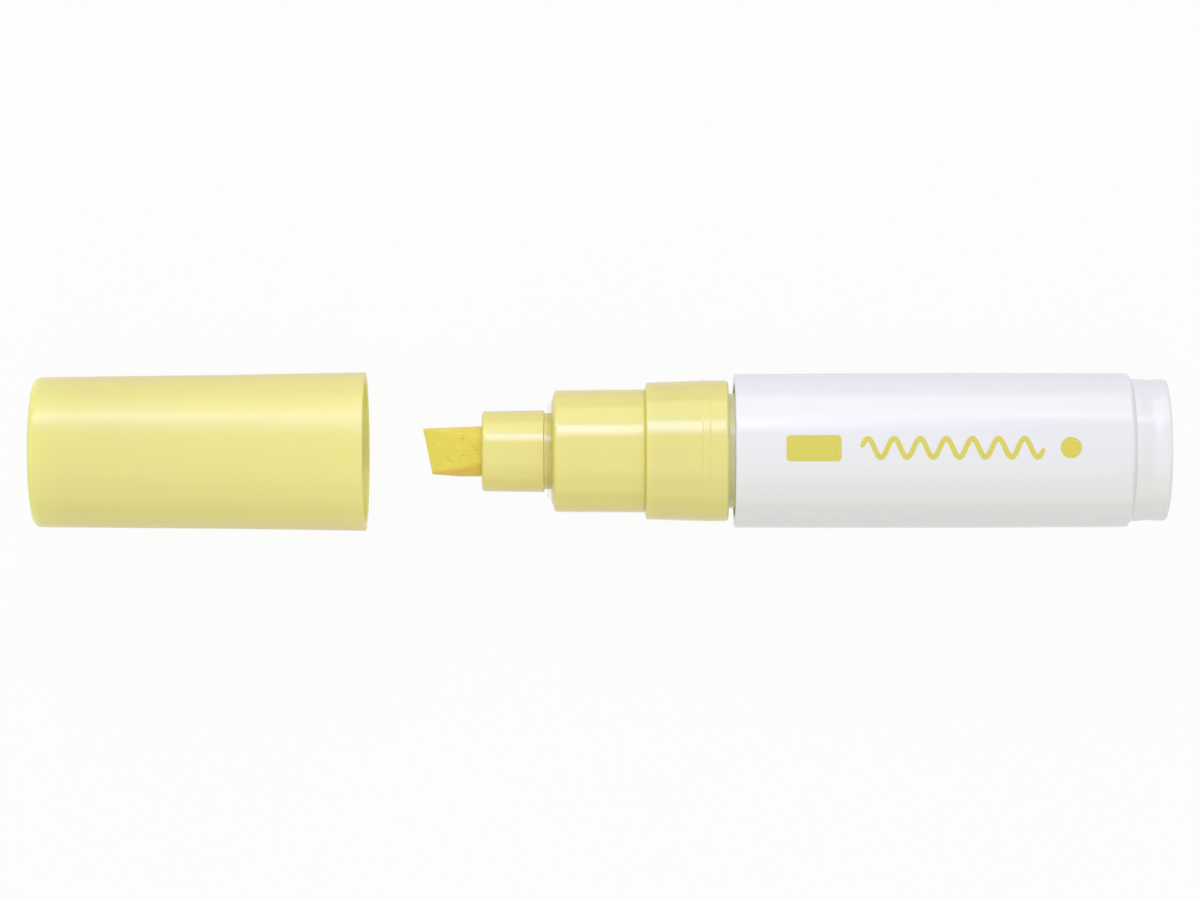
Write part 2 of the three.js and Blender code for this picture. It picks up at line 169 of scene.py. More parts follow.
def grown_by(tree, position, size, detail):
    """Noise over a position, whose grains take their size from a socket."""
    scale = sums(tree, "DIVIDE", 1.0, size)
    moved = put(tree, "VectorMath", {0: position, "Scale": scale}, operation="SCALE").outputs[0]
    return put(tree, "TexNoise", {"Vector": moved, "Scale": 1.0, "Detail": detail}).outputs["Fac"]


def new_group(name, inputs, outputs):
    """An empty shader node group with named float inputs and outputs, and a vector input called Position."""
    group = bpy.data.node_groups.new(name, "ShaderNodeTree")
    group.interface.new_socket("Position", in_out="INPUT", socket_type="NodeSocketVector")
    for label, value in inputs.items():
        socket = group.interface.new_socket(label, in_out="INPUT", socket_type="NodeSocketFloat")
        socket.default_value = value
    for label in outputs:
        group.interface.new_socket(label, in_out="OUTPUT", socket_type="NodeSocketFloat")
    entry = group.nodes.new("NodeGroupInput")
    leave = group.nodes.new("NodeGroupOutput")
    return group, entry.outputs, leave.inputs


def moulded_skin():
    """The skin of an injection moulding: peel, flow streaks along the marker, hairline rubs and specks."""
    inputs = {"Peel Size": 0.5, "Streak Width": 1.2, "Scuffs": 0.4, "Specks": 0.3}
    group, given, out = new_group("moulded_skin", inputs, ["Tone", "Dull", "Height"])
    position = given["Position"]
    link = group.links.new
    flow_stretch = (0.06, 1.0, 1.0)
    streak_share = 0.6
    cloud_share = 0.4
    cloud_size = 9.0
    along_rubs = ((0.04, 1, 1), 0.3)
    round_rubs = ((1, 0.09, 0.09), 0.34)
    rub_dent = 0.3
    peel = grown_by(group, position, given["Peel Size"], 2.0)
    flow = put(group, "VectorMath", {0: position, 1: flow_stretch}, operation="MULTIPLY").outputs[0]
    streak = grown_by(group, flow, given["Streak Width"], 3.0)
    cloud = grown(group, position, cloud_size)
    scuffs = 0.0
    for stretch, grain in (along_rubs, round_rubs):
        hairlines = ramp(group, grown(group, position, grain, 1.0, stretch), 0.7, 0.8)
        scuffs = sums(group, "ADD", scuffs, hairlines)
    scuffs = sums(group, "MULTIPLY", scuffs, given["Scuffs"])
    grains = put(group, "TexVoronoi", {"Vector": position, "Scale": 0.4, "Randomness": 1.0})
    speck = ramp(group, grains.outputs["Distance"], 0.02, 0.04, 1.0, 0.0)
    speck = sums(group, "MULTIPLY", speck, given["Specks"])
    clouded = sums(group, "MULTIPLY", cloud, cloud_share)
    tone = sums(group, "MULTIPLY_ADD", streak, streak_share, clouded)
    link(sums(group, "SUBTRACT", tone, speck), out["Tone"])
    dulling = sums(group, "MULTIPLY", sums(group, "SUBTRACT", cloud, 0.5), 0.3)
    link(sums(group, "ADD", scuffs, dulling), out["Dull"])
    link(sums(group, "SUBTRACT", peel, sums(group, "MULTIPLY", scuffs, rub_dent)), out["Height"])
    return group


moulded_skin_group = moulded_skin()


def paint(red, green, blue):
    """A colour as it shows on a screen, 0 to 255, in the linear values that a shader takes."""
    linear = []
    for value in (red, green, blue):
        share = value / 255
        linear.append(share / 12.92 if share <= 0.04045 else ((share + 0.055) / 1.055) ** 2.4)
    return (*linear, 1.0)


def in_millimetres(tree):
    """Where a point of the piece lies in the frame, in millimetres."""
    coordinates = put(tree, "TexCoord").outputs["Object"]
    return put(tree, "VectorMath", {0: coordinates, "Scale": 1000.0}, operation="SCALE").outputs[0]


def new_material(name):
    """A node material, with its tree, its Principled shader and the position that its grain follows."""
    material = bpy.data.materials.new(name)
    material.use_nodes = True
    tree = material.node_tree
    return material, tree, tree.nodes["Principled BSDF"], in_millimetres(tree)


def mixed(tree, share, first, second):
    """A colour between the first and the second, by a share from 0 to 1."""
    return put(tree, "Mix", {"Factor": share, "A": first, "B": second}, data_type="RGBA").outputs["Result"]


def embossed(tree, shader, height, depth):
    """Raises a material's surface by a height from 0 to 1, times a depth in metres."""
    bump = put(tree, "Bump", {"Height": height, "Distance": depth})
    tree.links.new(bump.outputs["Normal"], shader.inputs["Normal"])


def from_axis(tree, position):
    """How far a point lies from the marker's axis, in millimetres."""
    parts = put(tree, "SeparateXYZ", {0: position}).outputs
    over = sums(tree, "SUBTRACT", parts["Z"], axis_z / MM)
    squares = sums(tree, "ADD", sums(tree, "POWER", parts["Y"], 2.0), sums(tree, "POWER", over, 2.0))
    return sums(tree, "SQRT", squares)


def plastic(name, light, dark, silhouette_shade, roughness, glow, glow_depth, inner=None, **skin):
    """A moulded plastic that lets some light in. The skin is moulded_skin's. Its colour deepens into painted
    shade where a face turns away from the view, at the silhouettes.

    Inner is a lighter colour painted as light on the sheltered walls, which their recess would leave in
    shade, and the least station and the radius, in millimetres, that bound them.
    """
    peel_depth = 0.005 * MM
    silhouette_shade_from = 0.4  # how far a face turns away before it takes the painted silhouette shade
    silhouette_shade_share = 0.8
    dull_share = 0.18
    fade = 0.1  # millimetres over which the painted light on the sheltered walls starts and ends
    material, tree, shader, position = new_material(name)
    surface = put(tree, "Group", {"Position": position}, node_tree=moulded_skin_group)
    for label, value in skin.items():
        surface.inputs[label.replace("_", " ").title()].default_value = value
    facing = put(tree, "LayerWeight", {"Blend": 0.5}).outputs["Facing"]
    # Painted shade: the colour deepens towards the silhouettes, where faces turn away from the view.
    silhouette_shade_mask = ramp(tree, facing, silhouette_shade_from, 1.0, 0.0, silhouette_shade_share)
    colour = mixed(tree, silhouette_shade_mask, mixed(tree, surface.outputs["Tone"], dark, light), silhouette_shade)
    # Painted light: the sheltered walls take a lighter colour than the shade of their recess would give them.
    if inner:
        recess_light, least_station, bound_r = inner
        bound_x = barrel_front / MM + least_station
        station = put(tree, "SeparateXYZ", {0: position}).outputs["X"]
        behind = ramp(tree, station, bound_x - fade, bound_x + fade)
        within = ramp(tree, from_axis(tree, position), bound_r - fade, bound_r + fade, 1.0, 0.0)
        colour = mixed(tree, sums(tree, "MULTIPLY", behind, within), colour, recess_light)
    tree.links.new(colour, shader.inputs["Base Color"])
    dulled = sums(tree, "MULTIPLY_ADD", surface.outputs["Dull"], dull_share, roughness)
    tree.links.new(dulled, shader.inputs["Roughness"])
    embossed(tree, shader, surface.outputs["Height"], peel_depth)
    shader.inputs["IOR"].default_value = 1.49
    shader.inputs["Specular IOR Level"].default_value = 0.85
    shader.inputs["Coat Weight"].default_value = 0.35
    shader.inputs["Coat Roughness"].default_value = 0.5
    shader.inputs["Coat IOR"].default_value = 1.7
    shader.inputs["Subsurface Weight"].default_value = glow
    shader.inputs["Subsurface Radius"].default_value = glow_depth
    shader.inputs["Subsurface Scale"].default_value = MM
    return material


barrel_front_r = 12.75
barrel_rear_r = 12.78
barrel_crown = 0.12
barrel_tube = 64.9
barrel_bore_r = 11.2
barrel_bore_end = 63.35
barrel_bottom = 1.6
tail_r = 11.85
tail_start = 65.55
tail_shoulder = 0.4
tail_groove = (68.4, 11.68)
tail_bead = (70.1, 11.77)
tail_bend = 1.25
tail_end = (high.x - low.x) / MM
tail_bore_r = 10.3
gate_r = 0.9
gate_dip = 0.18
gate_slope = 0.1


def barrel_r_at(station):
    """The barrel's outer radius, which swells a little towards the middle of the tube."""
    share = station / barrel_tube
    return barrel_front_r + (barrel_rear_r - barrel_front_r) * share + 4 * barrel_crown * share * (1 - share)


crown = []
crown_steps = 12
for step in range(1, crown_steps):
    station = barrel_tube * step / crown_steps
    crown.append((station, barrel_r_at(station), 0))
barrel_profile = rounded([
    (tail_end - gate_dip, 0, 0),
    (tail_end - gate_dip, gate_r, 0.1),
    (tail_end, gate_r + gate_slope, 0.1),
    (tail_end, tail_bead[1], tail_bend),
    tail_bead + (0,),
    *reversed(list(eased(tail_groove, tail_bead))),
    *reversed(list(eased((tail_start + tail_shoulder, tail_r), tail_groove))),
    (tail_start, tail_r, 0.12),
    (barrel_tube, barrel_rear_r, 0.3),
    *reversed(crown),
    (0, barrel_front_r, 0.32),
    (0, barrel_bore_r, 0.2),
    (barrel_bore_end, barrel_bore_r, 0.3),
    (tail_start, tail_bore_r, 0.3),
    (tail_end - barrel_bottom, tail_bore_r, 1.0),
    (tail_end - barrel_bottom, 0, 0),
])
white_plastic = plastic(
    "white_plastic", light=paint(240, 240, 237), dark=paint(237, 237, 234), silhouette_shade=paint(214, 214, 218),
    roughness=0.22, glow=0.12, glow_depth=(0.9, 0.95, 1.0),
    peel_size=1.4, streak_width=1.6, scuffs=0.12, specks=0.25,
)
barrel = turned("barrel_tube", barrel_profile, white_plastic)
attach(barrel, "marker")
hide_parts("barrel")

# Print on the barrel: a plain bar, a wavy stroke and a dot, which show the paint's colour and broad line.
# They are pad-printed in the paint's own yellow, in ink about a hundredth of a millimetre thick.
ink_height = 0.012
ink_foot = -0.01  # the film's underside lies just inside the barrel
ink_lift = 0.4  # how far the print's middle line lies above the barrel's, across the marker
bar_from, bar_to = 8.2, 17.2
bar_half = 2.15
bar_corner = 0.7
wave_from, wave_to = 20.4, 50.2
wave_half = 1.55
wave_stroke = 0.42
wave_turns = 7
dot_at = 54.6
dot_r = 1.75

ink, tree, shader, position = new_material("print_ink")
mottle = grown(tree, position, 0.35, 3.0)
pinhole = put(tree, "TexVoronoi", {"Vector": position, "Scale": 2.6})
pinhole = ramp(tree, pinhole.outputs["Distance"], 0.03, 0.07, 0.5, 0.0)
thin = sums(tree, "ADD", ramp(tree, mottle, 0.35, 0.75, 0.0, 0.35), pinhole)
inked = mixed(tree, thin, paint(224, 213, 84), paint(232, 224, 120))
tree.links.new(inked, shader.inputs["Base Color"])
tree.links.new(ramp(tree, mottle, 0.3, 0.7, 0.26, 0.36), shader.inputs["Roughness"])
embossed(tree, shader, mottle, 0.004 * MM)


def printed(name, outline_rows):
    """An ink film on the barrel from rows of (station, distance across) points, each row across the shape."""
    verts = []
    for lift in (ink_height, ink_foot):
        for row in outline_rows:
            for station, across in row:
                reach = (barrel_r_at(station) * frame_flat + lift) * MM
                angle = (ink_lift + across) * MM / reach
                point = (reach * math.sin(angle), axis_z + reach * math.cos(angle))
                verts.append((barrel_front + station * MM, *point))
    rows = len(outline_rows)
    wide = len(outline_rows[0])
    back = rows * wide
    faces = []
    for row in range(rows - 1):
        for col in range(wide - 1):
            here = row * wide + col
            faces.append((here, here + 1, here + wide + 1, here + wide))
            faces.append(tuple(index + back for index in (here, here + wide, here + wide + 1, here + 1)))
    rim = list(range(wide)) + [row * wide + wide - 1 for row in range(1, rows)]
    rim += [(rows - 1) * wide + col for col in range(wide - 2, -1, -1)]
    rim += [row * wide for row in range(rows - 2, 0, -1)]
    for index, here in enumerate(rim):
        after = rim[(index + 1) % len(rim)]
        faces.append((here, after, after + back, here + back))
    film = finish_mesh(name, verts, faces, ink, crease=50)
    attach(film, "marker")
    return film


def capsule_rows(start, end, half, corner, columns=13):
    """Rows across a bar with rounded corners."""
    corner_steps = 8
    straight_steps = 12
    least_reach = 0.02
    stations = []
    for step in range(corner_steps + 1):
        stations.append(corner * (1 - math.cos(math.pi / 2 * step / corner_steps)))
    length = end - start
    straight = (length - 2 * corner) / straight_steps
    inner = [corner + straight * step for step in range(1, straight_steps)]
    stations += inner + [length - station for station in reversed(stations)]
    rows = []
    for station in stations:
        into = max(corner - min(station, length - station), 0)
        reach = half - corner + math.sqrt(max(corner ** 2 - into ** 2, 0))
        reach = max(reach, least_reach)
        rows.append([(start + station, reach * (2 * col / (columns - 1) - 1)) for col in range(columns)])
    return rows


printed("print_bar", capsule_rows(bar_from, bar_to, bar_half, bar_corner))
printed("print_dot", capsule_rows(dot_at - dot_r, dot_at + dot_r, dot_r, dot_r))
wave = []
wave_steps = 260
wave_length = wave_to - wave_from
blunt = 0.02  # the share of its width that the stroke keeps at its very ends
for step in range(wave_steps + 1):
    share = step / wave_steps
    phase = 2 * math.pi * wave_turns * share
    station = wave_from + wave_length * share
    rise = wave_half * math.sin(phase)
    slope = wave_half * math.cos(phase) * 2 * math.pi * wave_turns / wave_length
    normal = Vector((-slope, 1)).normalized()
    end_share = min(share, 1 - share) * wave_length / wave_stroke
    half = wave_stroke * math.sqrt(max(1 - (1 - min(end_share, 1)) ** 2, blunt ** 2))
    offs = [normal * half * side for side in (-1, -0.5, 0, 0.5, 1)]
    wave.append([(station + off.x, rise + off.y) for off in offs])
printed("print_wave", wave)

# Mixing ball: a quarter-inch bearing ball, loose in the paint chamber, which stirs the paint when shaken.
# It is polished steel, with fine random scratches from rolling on the barrel and a faint film of paint.
ball_steel, tree, shader, position = new_material("ball_steel")
film = ramp(tree, grown(tree, position, 1.4, 4.0), 0.55, 0.7)
stained = mixed(tree, film, paint(196, 198, 202), paint(226, 214, 110))
tree.links.new(stained, shader.inputs["Base Color"])
tree.links.new(sums(tree, "SUBTRACT", 1.0, film), shader.inputs["Metallic"])
tree.links.new(ramp(tree, grown(tree, position, 0.2, 3.0), 0.3, 0.8, 0.08, 0.3), shader.inputs["Roughness"])
embossed(tree, shader, grown(tree, position, 0.12, 4.0), 0.004 * MM)
low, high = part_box("mixing_ball")
ball_mesh = bpy.data.meshes.new("steel_ball")
work = bmesh.new()
bmesh.ops.create_icosphere(work, subdivisions=5, radius=(high.z - low.z) / 2)
bmesh.ops.translate(work, verts=work.verts, vec=(low + high) / 2)
work.to_mesh(ball_mesh)
work.free()
ball_mesh.shade_smooth()
ball_mesh.materials.append(ball_steel)
steel_ball = bpy.data.objects.new("steel_ball", ball_mesh)
bpy.context.scene.collection.objects.link(steel_ball)
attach(steel_ball, "ball")
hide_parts("mixing_ball")

# Rubber seals: the ring round the plug and the washer on the valve stem, pressed from black nitrile rubber.
# They are slipped into a groove and over the stem, and carry a dull bloom and fine mould grain.
black_rubber, tree, shader, position = new_material("black_rubber")
bloom = grown(tree, position, 1.1, 4.0)
bloomed = mixed(tree, bloom, paint(30, 30, 32), paint(52, 52, 55))
tree.links.new(bloomed, shader.inputs["Base Color"])
tree.links.new(ramp(tree, bloom, 0.3, 0.7, 0.5, 0.8), shader.inputs["Roughness"])
embossed(tree, shader, grown(tree, position, 0.08, 2.0), 0.01 * MM)


def dress(node, material):
    """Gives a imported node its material."""
    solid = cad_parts[node]
    solid.data.materials.clear()
    solid.data.materials.append(material)


dress("plug_seal", black_rubber)
dress("stem_seal", black_rubber)

# Valve: the body with its seat, the plunger and the windowed cage, all moulded in natural polyethylene.
# The body snaps into the front section, the cage into the plug, and the plunger slides in both.
natural_plastic = plastic(
    "natural_plastic", light=paint(230, 229, 222), dark=paint(216, 213, 196), silhouette_shade=paint(206, 203, 186),
    roughness=0.42, glow=0.3, glow_depth=(1.6, 1.5, 1.2),
    peel_size=0.4, streak_width=0.8, scuffs=0.2, specks=0.2,
)
for node in ("valve_body", "valve_stem", "spring_cage"):
    dress(node, natural_plastic)

# Valve spring: half-millimetre stainless wire, wound eight turns with closed ends, that shuts the valve.
# It stands on the cage's floor and is squeezed by the plunger's head when the nib is pumped.
low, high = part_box("valve_spring")
spring_wire = 0.5 * MM
spring_r = 3.0 * MM
spring_turns = 8
spring_end_pitch = 0.7 * MM
spring_front = low.x + spring_wire / 2
spring_rear = high.x - spring_wire / 2
spring_steel, tree, shader, position = new_material("spring_steel")
drawn = grown(tree, position, 0.15, 3.0)
wire_grey = mixed(tree, drawn, paint(176, 179, 184), paint(206, 208, 212))
tree.links.new(wire_grey, shader.inputs["Base Color"])
shader.inputs["Metallic"].default_value = 1.0
tree.links.new(ramp(tree, drawn, 0.3, 0.7, 0.18, 0.34), shader.inputs["Roughness"])
embossed(tree, shader, drawn, 0.003 * MM)

wire_sides = 12
turn_steps = 40
coil_steps = spring_turns * turn_steps
active_pitch = (spring_rear - spring_front - 2 * spring_end_pitch) / (spring_turns - 2)
verts = []
for step in range(coil_steps + 1):
    turn = step / turn_steps
    ends = min(turn, 1) + max(turn - (spring_turns - 1), 0)
    middle = min(max(turn - 1, 0), spring_turns - 2)
    station = spring_front + ends * spring_end_pitch + middle * active_pitch
    angle = 2 * math.pi * turn
    outward = Vector((0, math.sin(angle), math.cos(angle)))
    for side in range(wire_sides):
        around = 2 * math.pi * side / wire_sides
        off = outward * (spring_r + spring_wire / 2 * math.cos(around))
        verts.append((station + spring_wire / 2 * math.sin(around), off.y, axis_z + off.z))
faces = [tuple(range(wire_sides)), tuple(coil_steps * wire_sides + side for side in range(wire_sides))]
for step in range(coil_steps):
    for side in range(wire_sides):
        here = step * wire_sides + side
        beside = step * wire_sides + (side + 1) % wire_sides
        faces.append((here, beside, beside + wire_sides, here + wire_sides))
coil = finish_mesh("spring_coil", verts, faces, spring_steel)
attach(coil, "marker")
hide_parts("valve_spring")
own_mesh(coil)

# Front section: the yellow moulding with the wide step, the collar that the cap snaps on to, and the plug.
# Glossy polypropylene in the paint's colour. Its plug is pressed into the barrel as far as the neck.
low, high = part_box("front_section")
step_front = (low.x - barrel_front) / MM
plug_back = (high.x - barrel_front) / MM
front_wall = 1.6
nose_hole_r = 6.41
valve_bore_r = 8.25
valve_shelf = 1.8
step_lip_r = 8.35
step_front_r = 10.09
step_rear_r = 10.23
collar_front = -14.95
collar_rear = -1.0
collar_chamfer = 0.32
collar_r = 11.7
collar_front_r = 11.37
snap_bead = (-5.42, -5.3, -4.2, -4.08)
snap_bead_r = 11.71
skirt_bottom = -13.65
neck_r = 9.55
plug_front = 0.3
plug_r = 11.1
plug_bore_r = 9.65
plug_lead = 0.5
neck_from = -2.2
neck_bound_r = 11.5
seal_groove = (6.7, 8.0)
seal_groove_r = 10.3
cage_bead = (3.4, 3.8, 4.2)
cage_bead_r = 9.45
front_profile = rounded([
    (step_front, nose_hole_r, 0.08),
    (step_front, step_lip_r, 0.12),
    (step_front + 0.55, step_front_r, 0.42),
    (collar_front - 0.06, step_rear_r, 0.1),
    (collar_front + 0.08, 10.12, 0.08),
    (collar_front + 0.16, 10.3, 0.05),
    (collar_front + 0.42, collar_front_r, 0.14),
    (snap_bead[0], 11.67, 0.05),
    (snap_bead[1], snap_bead_r, 0.05),
    (snap_bead[2], snap_bead_r, 0.05),
    (snap_bead[3], 11.68, 0.05),
    (collar_rear - collar_chamfer, collar_r, 0.15),
    (collar_rear, 11.4, 0.15),
    (collar_rear, 10.51, 0.15),
    (skirt_bottom, 10.41, 0.3),
    (skirt_bottom, plug_bore_r, 0.3),
    (plug_front, neck_r, 0.1),
    (plug_front, plug_r, 0.1),
    (seal_groove[0], plug_r, 0.05),
    (seal_groove[0], seal_groove_r, 0.05),
    (seal_groove[1], seal_groove_r, 0.05),
    (seal_groove[1], plug_r, 0.05),
    (plug_back - plug_lead, plug_r, 0.1),
    (plug_back, plug_r - plug_lead, 0.1),
    (plug_back, plug_bore_r, 0.1),
    (cage_bead[2], plug_bore_r, 0),
    (cage_bead[1], cage_bead_r, 0.1),
    (cage_bead[0], plug_bore_r, 0),
    (valve_shelf, plug_bore_r, 0.05),
    (valve_shelf, valve_bore_r, 0.1),
    (step_front + front_wall, valve_bore_r, 0.3),
    (step_front + front_wall, nose_hole_r, 0.08),
])
yellow_plastic = plastic(
    "yellow_plastic", light=paint(239, 228, 121), dark=paint(236, 224, 115), silhouette_shade=paint(210, 190, 72),
    roughness=0.2, glow=0.45, glow_depth=(2.5, 2.4, 0.8),
    # Painted light: the neck groove between collar and barrel, which lies in shade, is coloured a paler
    # yellow.
    inner=(paint(254, 250, 186), neck_from, neck_bound_r),
    peel_size=1.2, streak_width=1.1, scuffs=0.2, specks=0.25,
)
front = turned("front_moulding", front_profile, yellow_plastic)
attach(front, "marker")
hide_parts("front_section")

# Seal ring: a clear, soft polyethylene lip held between nose and step, which the shut inner cap presses on.
# It is stamped with a flat front face and a slanted rim, and slipped on the nose's plug before that is
# snapped in.
low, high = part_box("seal_ring")
ring_front = (low.x - barrel_front) / MM
ring_back = (high.x - barrel_front) / MM
clear_plastic, tree, shader, position = new_material("clear_plastic")
haze = grown(tree, position, 1.2, 2.0)
# Painted shade: the clear ring is tinted the dark olive-yellow of the shaded recess that it sits in.
recess_shade_tint = mixed(tree, haze, paint(212, 200, 104), paint(222, 212, 130))
tree.links.new(recess_shade_tint, shader.inputs["Base Color"])
tree.links.new(ramp(tree, haze, 0.3, 0.7, 0.07, 0.11), shader.inputs["Alpha"])
shader.inputs["Specular IOR Level"].default_value = 0.2
tree.links.new(ramp(tree, haze, 0.3, 0.7, 0.12, 0.26), shader.inputs["Roughness"])
embossed(tree, shader, haze, 0.006 * MM)
shader.inputs["IOR"].default_value = 1.5
ring_front_r = 7.71
ring_back_r = 8.25
ring_profile = rounded([
    (ring_front, nose_hole_r, 0.05),
    (ring_front, ring_front_r, 0.08),
    (ring_back, ring_back_r, 0.05),
    (ring_back, nose_hole_r, 0.05),
])
ring = turned("lip_ring", ring_profile, clear_plastic)
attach(ring, "marker")
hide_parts("seal_ring")

# Nose: the yellow nib holder, whose ribbed bore grips the felt and lets air back in beside it.
# It is moulded with a barbed plug that snaps into the front section from the front.
low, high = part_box("nose")
nose_front = (low.x - barrel_front) / MM
nose_plug_end = (high.x - barrel_front) / MM
nose_r = 6.81
nose_draft = 0.15
nose_plug_r = 6.31
nose_groove = 0.45  # between the nose's shoulder and the seal ring
nose_rear = ring_front - nose_groove
nose_barb = 0.35
bore_r = 4.27
channel_depth = 0.5
channel_half = 0.176  # half a channel's width, in radians
channel_slope = 0.1  # the width of each of its sloped sides, in radians
channels = 6
bore_mouth_r = bore_r + channel_depth + 0.2


def ribbed_bore(angle):
    """The nose's bore: a round hole with air channels along it."""
    pitch = 2 * math.pi / channels
    off = abs((angle + math.pi / 2) % pitch - pitch / 2)
    share = min(max((channel_half + channel_slope / 2 - off) / channel_slope, 0), 1)
    return bore_r + channel_depth * share * share * (3 - 2 * share)


BORE = -1  # a radius that stands for the ribbed bore
nose_outside = rounded([
    (nose_front, bore_mouth_r, 0),
    (nose_front, nose_r - nose_draft, 0.5),
    (nose_rear, nose_r, 0.18),
    (nose_rear, nose_plug_r, 0.05),
    (step_front + 1.7, nose_plug_r, 0.05),
    (step_front + 1.9, nose_plug_r + nose_barb, 0.1),
    (step_front + 2.5, nose_plug_r, 0.1),
    (nose_plug_end - plug_lead, nose_plug_r, 0.1),
    (nose_plug_end, nose_plug_r - plug_lead, 0.1),
    (nose_plug_end, bore_mouth_r, 0),
])
bore_steps = 8
nose_bore = []
for step in range(bore_steps + 1):
    nose_bore.append(Vector((nose_plug_end + (nose_front - nose_plug_end) * step / bore_steps, BORE)))
nose = turned("nose_holder", nose_outside + nose_bore, yellow_plastic, turns=288, bore=ribbed_bore)
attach(nose, "marker")
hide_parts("nose")

# Nib: a stiff rod of pressed polyester felt, ground to a chisel with two flats and a slanted writing edge.
# It is pushed into the nose's ribs. Its fibres run along it, and yellow paint has soaked it through.
low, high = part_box("nib")
nib_r = 4.17
nib_tip = low.x
nib_rear = high.x
slant = math.tan(math.radians(11.6))
nib_mid = nib_tip + nib_r * slant * MM
tip_half = 2.15
flat_rise = math.tan(math.radians(9))
side_taper = 0.4
taper_lengths = (4.6, 9.4)  # on the side away from +Y, and on the other
nib_edge = 0.22  # how far each side of a flat's edge it is worn round
fuzz_depth = 0.022
face_fuzz_depth = 0.03
around_steps = 160
along_steps = 210
front_rings = 22
ring_crowding = 1.25  # above 1, the rings along the nib lie closer together near its tip

felt, tree, shader, position = new_material("nib_felt")
fibres = grown(tree, position, 0.14, 4.0, (0.12, 1, 1))
mottle = grown(tree, position, 1.1, 3.0, (0.6, 1, 1))
drawn_pits = put(tree, "VectorMath", {0: position, 1: (0.45, 1.6, 1.6)}, operation="MULTIPLY").outputs[0]
pit_cells = put(tree, "TexVoronoi", {"Vector": drawn_pits, "Scale": 1.0})
pits = ramp(tree, pit_cells.outputs["Distance"], 0.1, 0.26, 1.0, 0.0)
pits = sums(tree, "MULTIPLY", pits, ramp(tree, grown(tree, position, 1.6), 0.44, 0.58))
across = put(tree, "SeparateXYZ", {0: position}).outputs["Y"]
ragged_r = sums(tree, "ADD", from_axis(tree, position), sums(tree, "MULTIPLY", mottle, 0.3))
skin = ramp(tree, ragged_r, 3.8, 4.35)
tone = sums(tree, "MULTIPLY_ADD", fibres, 0.6, sums(tree, "MULTIPLY", mottle, 0.4))
wet = mixed(tree, ramp(tree, tone, 0.36, 0.64), paint(243, 224, 86), paint(249, 233, 100))
# Painted shade: the rod's round sides deepen to orange, most on the side towards -Y that the lamps leave in
# shade, broken by the fibres.
shaded_side = ramp(tree, across, -1.5, 1.0, 1.0, 0.2)
shaded_side = sums(tree, "MULTIPLY", ramp(tree, fibres, 0.35, 0.6, 0.6, 1.0), shaded_side)
rod = mixed(tree, sums(tree, "MULTIPLY", skin, shaded_side), wet, paint(241, 204, 84))
# The felt is darker in its pits.
felt_colour = mixed(tree, sums(tree, "MULTIPLY", pits, 0.6), rod, paint(214, 178, 66))
tree.links.new(felt_colour, shader.inputs["Base Color"])
tree.links.new(ramp(tree, fibres, 0.3, 0.7, 0.62, 0.85), shader.inputs["Roughness"])
height = sums(tree, "MULTIPLY_ADD", fibres, 0.6, sums(tree, "MULTIPLY", pits, -0.4))
embossed(tree, shader, height, 0.02 * MM)
shader.inputs["Subsurface Weight"].default_value = 0.25
shader.inputs["Subsurface Radius"].default_value = (1.2, 0.8, 0.2)
shader.inputs["Subsurface Scale"].default_value = MM
shader.inputs["Sheen Weight"].default_value = 0.15


def nib_section(behind, angle):
    """A point of the nib's outline, as (across, up) in millimetres, this far behind the middle of the tip."""
    half_high = tip_half + behind * flat_rise
    across = nib_r * math.sin(angle)
    up = nib_r * math.cos(angle)
    half_wide = nib_r - side_taper * max(1 - behind / taper_lengths[across > 0], 0)
    over = abs(up) - half_high
    if over > -nib_edge:
        soft = min((over + nib_edge) / (2 * nib_edge), 1)
        pressed = half_high - nib_edge + 2 * nib_edge * (soft - soft * soft / 2)
        up = math.copysign(min(pressed, half_high), up)
    if abs(across) > half_wide:
        across = math.copysign(half_wide, across)
    return across, up


def fuzz(point, depth):
    """How far the felt's surface lies in or out at a point, in millimetres."""
    fibre = noise.fractal(Vector((point[0] * 0.9, point[1] * 7, point[2] * 7)), 1.0, 2.0, 3)
    pit = noise.noise(Vector((point[0] * 1.4 + 9, point[1] * 2.6, point[2] * 2.6)))
    return depth * (fibre - 2.2 * max(pit - 0.45, 0))


verts = []
rows = []


def nib_ring(shrink, share):
    """One ring of points: shrink draws it in to the middle, and share goes from the tip to the rear."""
    ring = []
    for step in range(around_steps):
        angle = 2 * math.pi * step / around_steps
        station = (nib_rear - nib_mid) / MM * share
        across, up = nib_section(station, angle)
        across *= shrink
        up *= shrink
        start = -across * slant
        along = start + ((nib_rear - nib_mid) / MM - start) * share
        outward = Vector((across, up)).normalized() if shrink == 1 else Vector((0, 0))
        lift = fuzz((along, across, up), fuzz_depth)
        point = Vector((along, across + outward.x * lift, up + outward.y * lift))
        if shrink < 1 and share == 0:
            point.x += fuzz((along + 3, across, up), face_fuzz_depth)
        ring.append(len(verts))
        point *= MM
        verts.append((nib_mid + point.x, point.y * frame_flat, axis_z + point.z * frame_flat))
    rows.append(ring)


for ring in range(front_rings):
    nib_ring(ring / front_rings, 0)
for step in range(along_steps + 1):
    nib_ring(1, (step / along_steps) ** ring_crowding)
nib_ring(0, 1)
faces = []
for first, second in zip(rows, rows[1:]):
    for step in range(around_steps):
        beside = (step + 1) % around_steps
        faces.append((first[step], first[beside], second[beside], second[step]))
nib = finish_mesh("felt_nib", verts, faces, felt, crease=50)
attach(nib, "nib_unit")
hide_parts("nib")

